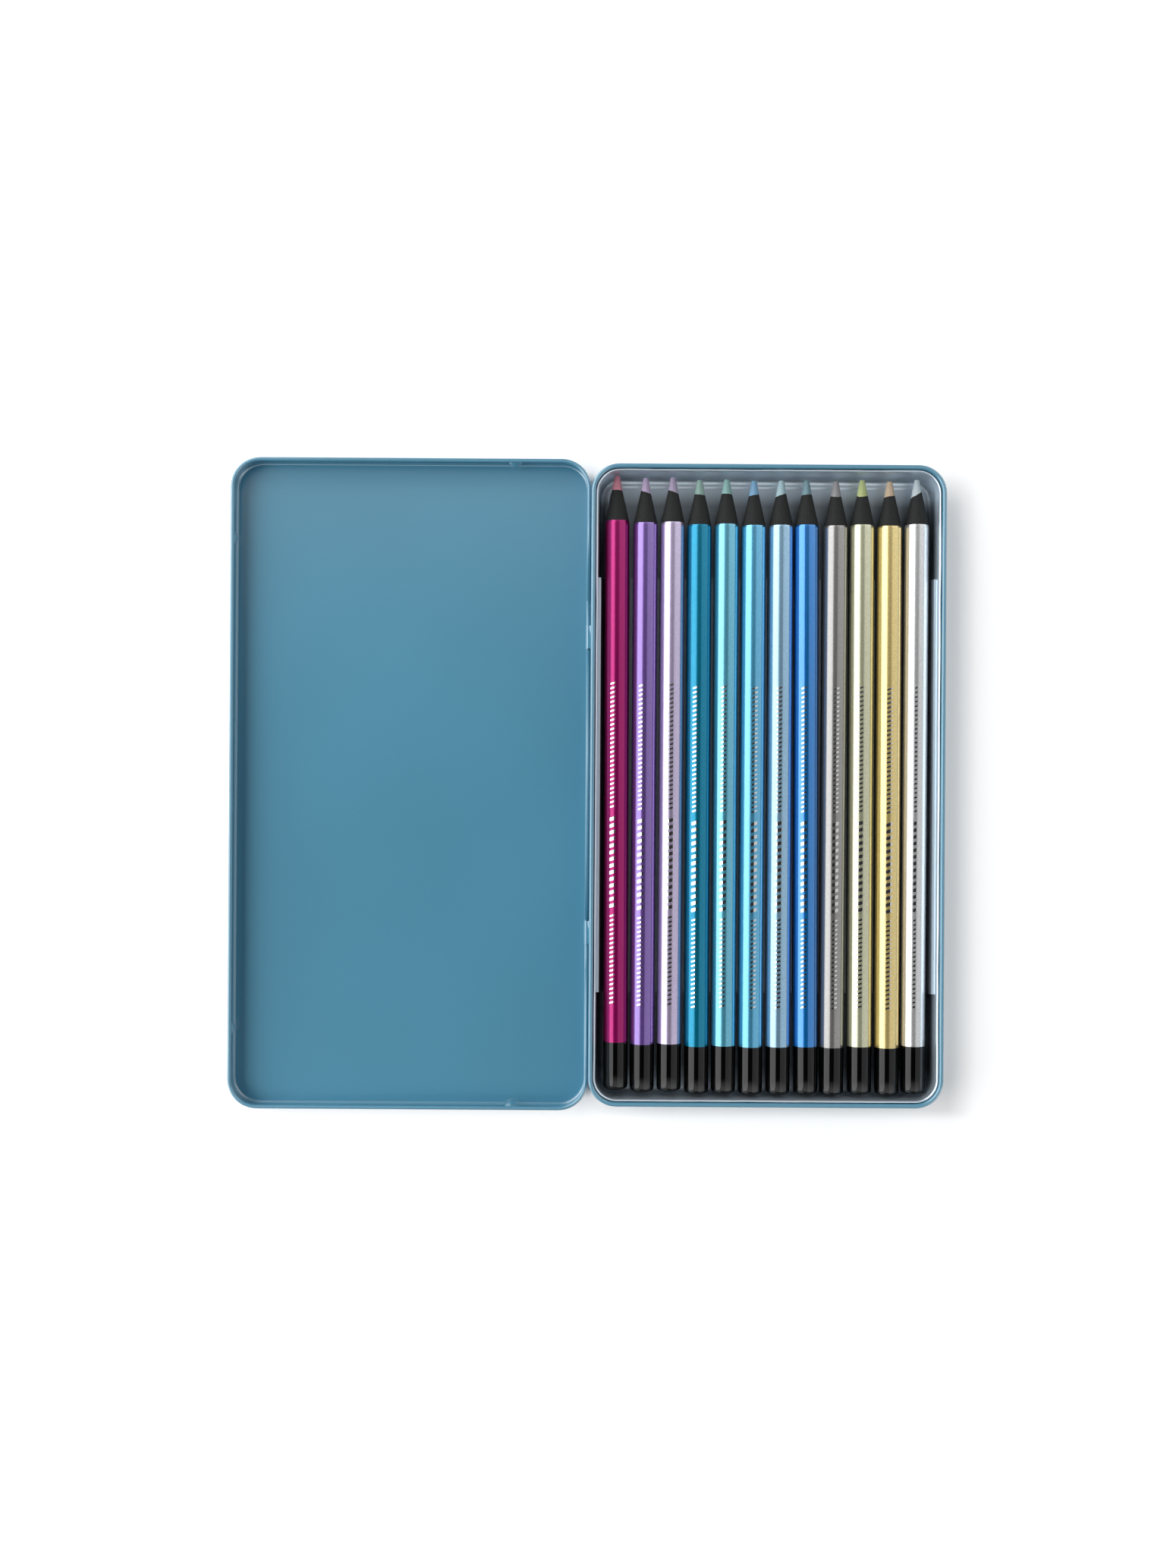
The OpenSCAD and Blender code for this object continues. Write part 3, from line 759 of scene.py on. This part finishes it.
class PENCILTIN_OT_pencils(bpy.types.Operator):
    """Turns each pencil's core, dyed wood, lacquer and dipped end"""
    bl_idname = "pencil_tin.pencils"
    bl_label = "Pencils"

    def execute(self, context):
        settings = context.scene.pencil_settings
        tree = lathe_tree()
        profiles, slope = pencil_profiles(settings)
        wood, dip = wood_material(), dip_material()
        for i, (lacquer, colour, core, core_colour, slant, side) in enumerate(PENCILS):
            tail, way = pencil_axis(i)
            coat = THIN_COAT.get(lacquer, 1.0)
            finishes = {"core": (core, core_material(core, core_colour)),
                        "casing": ("dyed_wood", wood),
                        "lacquer": (lacquer, lacquer_material(lacquer, colour, coat)),
                        "end_dip": ("black_dip", dip)}
            for part, (slot, material) in finishes.items():
                cut = part in ("core", "casing")
                ragged, fineness = CUT_EDGE if cut else LACQUER_EDGE
                name = f"pencil_{i + 1:02d}_{part}"
                mesh = grow("turned_" + name, profile_mesh(name, profiles[part]), tree, {
                    "Segments": settings.segments,
                    "Slant": slant * MM if cut else 0.0,
                    "Slant Angle": math.radians(side),
                    "Ragged": ragged * MM,
                    "Ragged Scale": fineness,
                    "Seed": SEED_STEP * i,
                    "Slope": slope,
                    "Facets": FACET_DEPTH * MM,
                    "Tail": tail,
                    "Direction": way,
                    "Material": material})
                new_piece("turned_" + name, mesh, f"pencil_{i + 1:02d}", slot, name)
        return {"FINISHED"}


def foil_tree():
    """A stamped row: the input mark is repeated along a barrel in a fine, a bold and a fine
    group, slanted, and bent round the barrel at a turn from its top."""
    tree, given = start_tree("Foil Row", [
        ("Fine Pitch", "Float"), ("Bold Pitch", "Float"), ("First", "Int"), ("Bold", "Int"),
        ("Last", "Int"), ("Start", "Float"), ("Gap", "Float"), ("Slant", "Float"),
        ("Radius", "Float"), ("Turn", "Float")])
    groups, start = [], given["Start"]
    for count, pitch, grow_by in ((given["First"], given["Fine Pitch"], (1, 1, 1)),
                                  (given["Bold"], given["Bold Pitch"], BOLD_MARK),
                                  (given["Last"], given["Fine Pitch"], (1, 1, 1))):
        first = add_node(tree, "ShaderNodeCombineXYZ", {2: start}).outputs[0]
        step = add_node(tree, "ShaderNodeCombineXYZ", {2: pitch}).outputs[0]
        line = add_node(tree, "GeometryNodeMeshLine",
                        {"Count": count, "Start Location": first, "Offset": step}).outputs[0]
        groups.append(add_node(tree, "GeometryNodeInstanceOnPoints",
                               {"Points": line, "Instance": given["Geometry"],
                                "Scale": grow_by}).outputs[0])
        reach = add_node(tree, "ShaderNodeMath", {0: count, 1: pitch, 2: start},
                         operation="MULTIPLY_ADD").outputs[0]
        start = add_node(tree, "ShaderNodeMath", {0: reach, 1: given["Gap"]}).outputs[0]
    join = tree.nodes.new("GeometryNodeJoinGeometry")
    for group in groups:
        tree.links.new(group, join.inputs[0])
    marks = add_node(tree, "GeometryNodeRealizeInstances", {0: join.outputs[0]}).outputs[0]
    here = add_node(tree, "ShaderNodeSeparateXYZ", {
        0: add_node(tree, "GeometryNodeInputPosition").outputs[0]}).outputs
    along = add_node(tree, "ShaderNodeMath", {0: here["X"], 1: given["Slant"], 2: here["Z"]},
                     operation="MULTIPLY_ADD").outputs[0]
    angle = add_node(tree, "ShaderNodeMath", {0: here["X"], 1: given["Radius"]},
                     operation="DIVIDE").outputs[0]
    angle = add_node(tree, "ShaderNodeMath", {0: angle, 1: given["Turn"]}).outputs[0]
    radius = add_node(tree, "ShaderNodeMath", {0: given["Radius"], 1: here["Y"]}).outputs[0]
    across, up = (add_node(tree, "ShaderNodeMath", {0: angle}, operation=kind).outputs[0]
                  for kind in ("SINE", "COSINE"))
    x = add_node(tree, "ShaderNodeMath", {0: across, 1: radius},
                 operation="MULTIPLY").outputs[0]
    y = up
    for factor in (radius, -1.0):
        y = add_node(tree, "ShaderNodeMath", {0: y, 1: factor}, operation="MULTIPLY").outputs[0]
    place = add_node(tree, "ShaderNodeCombineXYZ", {0: x, 1: y, 2: along}).outputs[0]
    marks = add_node(tree, "GeometryNodeSetPosition", {0: marks, "Position": place}).outputs[0]
    return end_tree(tree, given, marks)


def mark_mesh():
    """One stamped tick, 1.6 x 0.5 mm with eased corners, curved later round the barrel. It
    sinks a little into the lacquer and stands a little proud, so it has no gap under it."""
    spans = [(-0.8, 0.14), (-0.7, 0.25), (-0.35, 0.25), (0, 0.25), (0.35, 0.25), (0.7, 0.25),
             (0.8, 0.14)]
    sunk, proud = -0.004, 0.012
    points = [(x * MM, y * MM, z * k * MM) for y in (sunk, proud) for x, z in spans
              for k in (-1, 1)]
    n = len(spans) * 2
    faces = []
    for k in range(0, n - 2, 2):
        faces.append((k, k + 1, k + 3, k + 2))
        faces.append((n + k, n + k + 2, n + k + 3, n + k + 1))
        faces.append((k, k + 2, n + k + 2, n + k))
        faces.append((k + 1, n + k + 1, n + k + 3, k + 3))
    faces += [(0, n, n + 1, 1), (n - 2, n - 1, 2 * n - 1, 2 * n - 2)]
    mesh = bpy.data.meshes.new("tick")
    mesh.from_pydata(points, [], faces)
    return mesh


class PENCILTIN_OT_foil(bpy.types.Operator):
    """Stamps a plain row of silver ticks on each barrel"""
    bl_idname = "pencil_tin.foil"
    bl_label = "Foil Row"

    def execute(self, context):
        settings = context.scene.pencil_settings
        tree, mark, foil = foil_tree(), mark_mesh(), foil_material()
        for i, turn in enumerate(FOIL_TURN):
            tail, way = pencil_axis(i)
            name = f"foil_row_{i + 1:02d}"
            mesh = grow(name, mark, tree, {
                "Fine Pitch": 1.3 * MM, "Bold Pitch": 1.9 * MM, "First": 20, "Bold": 14,
                "Last": 28, "Start": 24.5 * MM, "Gap": 1.6 * MM, "Slant": 0.3,
                "Radius": settings.barrel / 2, "Turn": math.radians(turn), "Tail": tail,
                "Direction": way, "Material": foil})
            new_piece(name, mesh, f"pencil_{i + 1:02d}", None)
        return {"FINISHED"}


def fade(tree, place, slopes):
    """The product of several slopes on the table. Each has its axis, where it starts and ends
    in mm, and its share at either end."""
    share = None
    for axis, start, end, first, last in slopes:
        slope = add_node(tree, "ShaderNodeMapRange", {
            "Value": place[axis], "From Min": start * MM, "From Max": end * MM,
            "To Min": first, "To Max": last}).outputs[0]
        share = slope if share is None else add_node(
            tree, "ShaderNodeMath", {0: share, 1: slope}, operation="MULTIPLY").outputs[0]
    return share


def table_material():
    # Matt white laminate. What the camera and gloss see is lifted to white, and the tin's shadow
    # stays, with painted shadow added beside the base and in the seam
    laminate, tree, shader, spot = new_material(
        "matt_white_laminate", Roughness=0.9, Base_Color=(*linear("#F2F2F3"), 1),
        Emission_Color=(1, 1, 1, 1))
    seen = add_node(tree, "ShaderNodeLightPath").outputs
    lift = seen["Is Camera Ray"]
    for ray in ("Is Glossy Ray", "Is Transmission Ray"):
        lift = add_node(tree, "ShaderNodeMath", {0: lift, 1: seen[ray]},
                        operation="MAXIMUM").outputs[0]
    place = add_node(tree, "ShaderNodeSeparateXYZ", {0: spot}).outputs
    # Painted shadow: the lift fades in the seam between the shells and beside the base, away from
    # the light, darkening the table there
    painted_seam_shade = fade(tree, place, (("X", 0.0, 0.6, 0, 1), ("X", 1.9, 2.5, 1, 0),
                              ("Y", 88, 91, 1, 0), ("Y", -91, -88, 0, 1)))
    painted_side_shadow = fade(tree, place, (("X", 106, 114, 0.45, 0), ("X", 2, 8, 0, 1),
                                ("Y", -97, -94, 0, 1), ("Y", 82, 91, 1, 0)))
    shade = add_node(tree, "ShaderNodeMath", {0: painted_seam_shade, 1: painted_side_shadow}, operation="MAXIMUM")
    # Far from the lamps, in metres, the table needs the whole lift
    reach = add_node(tree, "ShaderNodeVectorMath", {0: spot}, operation="LENGTH")
    most = add_node(tree, "ShaderNodeMapRange", {
        "Value": reach.outputs["Value"], "From Min": 0.5, "From Max": 1.8, "To Min": 0.46,
        "To Max": 1.0})
    open_air = add_node(tree, "ShaderNodeMapRange",
                        {"Value": shade.outputs[0], "To Min": most.outputs[0], "To Max": 0})
    lift = add_node(tree, "ShaderNodeMath", {0: lift, 1: open_air.outputs[0]},
                    operation="MULTIPLY")
    tree.links.new(lift.outputs[0], shader.inputs["Emission Strength"])
    return laminate


def lay_table(scene):
    """A flat table a hair under the tin, 12 m across."""
    half, under = 6, -0.05 * MM
    table = bpy.data.meshes.new("table")
    table.from_pydata([(x * half, y * half, under) for x, y in
                       ((-1, -1), (1, -1), (1, 1), (-1, 1))], [], [(0, 1, 2, 3)])
    table.materials.append(table_material())
    floor = bpy.data.objects.new("table", table)
    scene.collection.objects.link(floor)


def hang_lamps(scene, settings):
    """Three softboxes: name, radiance, place, size, and the point each one faces. The small
    one gives light but isn't mirrored."""
    for name, power, place, size, aim in (
            ("softbox_lid_side", settings.main_light, (-0.935, 1.0, 0.87), (3.25, 1.41),
             (0.805, 1.0, 0)),
            ("softbox_base_side", settings.fill_light, (0.91, 0, 0.795), (3.25, 1.61),
             (-0.527, 0, 0)),
            ("softbox_high", settings.high_light, (-0.45, 0.02, 0.42), (0.35, 0.35),
             (0, 0, 0))):
        lamp = bpy.data.lights.new(name, "AREA")
        lamp.shape = "RECTANGLE"
        lamp.size, lamp.size_y = size
        lamp.energy = power * math.pi * size[0] * size[1]
        light = bpy.data.objects.new(name, lamp)
        light.location = place
        way = Vector(aim) - Vector(place)
        light.rotation_euler = way.to_track_quat("-Z", "Y").to_euler()
        light.visible_camera = False
        light.visible_glossy = name != "softbox_high"
        scene.collection.objects.link(light)


def paint_room(scene):
    """The room round the table: white to the camera, dim as light, graded in reflections."""
    world = bpy.data.worlds.new("studio")
    world.use_nodes = True
    tree = world.node_tree
    tree.nodes.clear()
    way = add_node(tree, "ShaderNodeTexCoord").outputs["Generated"]
    way = add_node(tree, "ShaderNodeSeparateXYZ", {0: way}).outputs
    ahead = add_node(tree, "ShaderNodeMath", {0: way["Y"], 1: -1},
                     operation="MULTIPLY").outputs[0]
    # Darker overhead, a pale wall behind the pencil tips, and a reflector in front, for the
    # end wall behind the tips to mirror
    room, wall, front = (
        set_stops(add_node(tree, "ShaderNodeValToRGB", {"Fac": factor}), stops)
        for factor, stops in (
            (way["Z"], [(0.0, 0.2), (0.4, 0.1), (0.8, 0.03), (1.0, 0.02)]),
            (way["Y"], [(0.0, 0.0), (0.08, 0.04), (0.14, 0.15), (0.2, 0.55), (0.35, 0.55),
                        (1.0, 0.1)]),
            (ahead, [(0.26, 0.0), (0.34, 1.0), (0.58, 1.0), (0.68, 0.0)])))
    for more in (wall, front):
        room = add_node(tree, "ShaderNodeMath", {0: room, 1: more}).outputs[0]
    seen = add_node(tree, "ShaderNodeLightPath").outputs
    shine = add_node(tree, "ShaderNodeMix", {0: seen["Is Glossy Ray"], 2: ROOM_LIGHT, 3: room})
    glow = add_node(tree, "ShaderNodeMix", {0: seen["Is Camera Ray"], 2: shine.outputs[0],
                                            3: 1.0})
    sky = add_node(tree, "ShaderNodeBackground",
                   {"Color": (1, 1, 1, 1), "Strength": glow.outputs[0]})
    add_node(tree, "ShaderNodeOutputWorld", {"Surface": sky.outputs[0]})
    scene.world = world


def set_camera(scene, settings):
    """A camera straight above the hinge that looks down."""
    lens = bpy.data.cameras.new("camera")
    lens.sensor_width = SENSOR
    lens.lens = SENSOR * FOCAL_PIXELS / FRAME_PIXELS
    lens.clip_start, lens.clip_end = 0.01, 100
    camera = bpy.data.objects.new("camera", lens)
    camera.location = (0.8 * MM, 0.22 * MM, settings.height)
    camera.rotation_euler = (0, 0, settings.turn)
    scene.collection.objects.link(camera)
    scene.camera = camera


class PENCILTIN_OT_stage(bpy.types.Operator):
    """Sets the table, the softboxes, the room and the camera"""
    bl_idname = "pencil_tin.stage"
    bl_label = "Stage"

    def execute(self, context):
        scene = context.scene
        scene.view_settings.view_transform = "Standard"
        lay_table(scene)
        hang_lamps(scene, scene.stage_settings)
        paint_room(scene)
        set_camera(scene, scene.stage_settings)
        return {"FINISHED"}


class PENCILTIN_PT_panel(bpy.types.Panel):
    """Lists what the tin is made of"""
    bl_idname = "PENCILTIN_PT_panel"
    bl_label = "Pencil Tin"
    bl_space_type = "VIEW_3D"
    bl_region_type = "UI"
    bl_category = "Pencil Tin"

    def draw(self, context):
        for pointer, _, steps in GROUPS:
            box = self.layout.box()
            settings = getattr(context.scene, pointer)
            for name in settings.__annotations__:
                box.prop(settings, name)
            for step in steps:
                box.operator(step)


# Where each group of settings is kept in the scene, and the operators that use it
GROUPS = (("tin_settings", TinSettings, ("pencil_tin.shells",)),
          ("tray_settings", TraySettings, ("pencil_tin.tray",)),
          ("pencil_settings", PencilSettings, ("pencil_tin.pencils", "pencil_tin.foil")),
          ("stage_settings", StageSettings, ("pencil_tin.stage",)))
CLASSES = (PENCILTIN_OT_stage, PENCILTIN_OT_shells, PENCILTIN_OT_tray,
           PENCILTIN_OT_pencils, PENCILTIN_OT_foil, PENCILTIN_PT_panel)


def register():
    for name, group, _ in GROUPS:
        bpy.utils.register_class(group)
        setattr(bpy.types.Scene, name, bpy.props.PointerProperty(type=group))
    for item in CLASSES:
        bpy.utils.register_class(item)


def unregister():
    for item in reversed(CLASSES):
        bpy.utils.unregister_class(item)
    for name, group, _ in reversed(GROUPS):
        delattr(bpy.types.Scene, name)
        bpy.utils.unregister_class(group)


def main():
    """Makes the tin on its stage."""
    register()
    bpy.ops.pencil_tin.stage()
    bpy.ops.pencil_tin.shells()
    bpy.ops.pencil_tin.tray()
    bpy.ops.pencil_tin.pencils()
    bpy.ops.pencil_tin.foil()


if __name__ == "__main__":
    main()
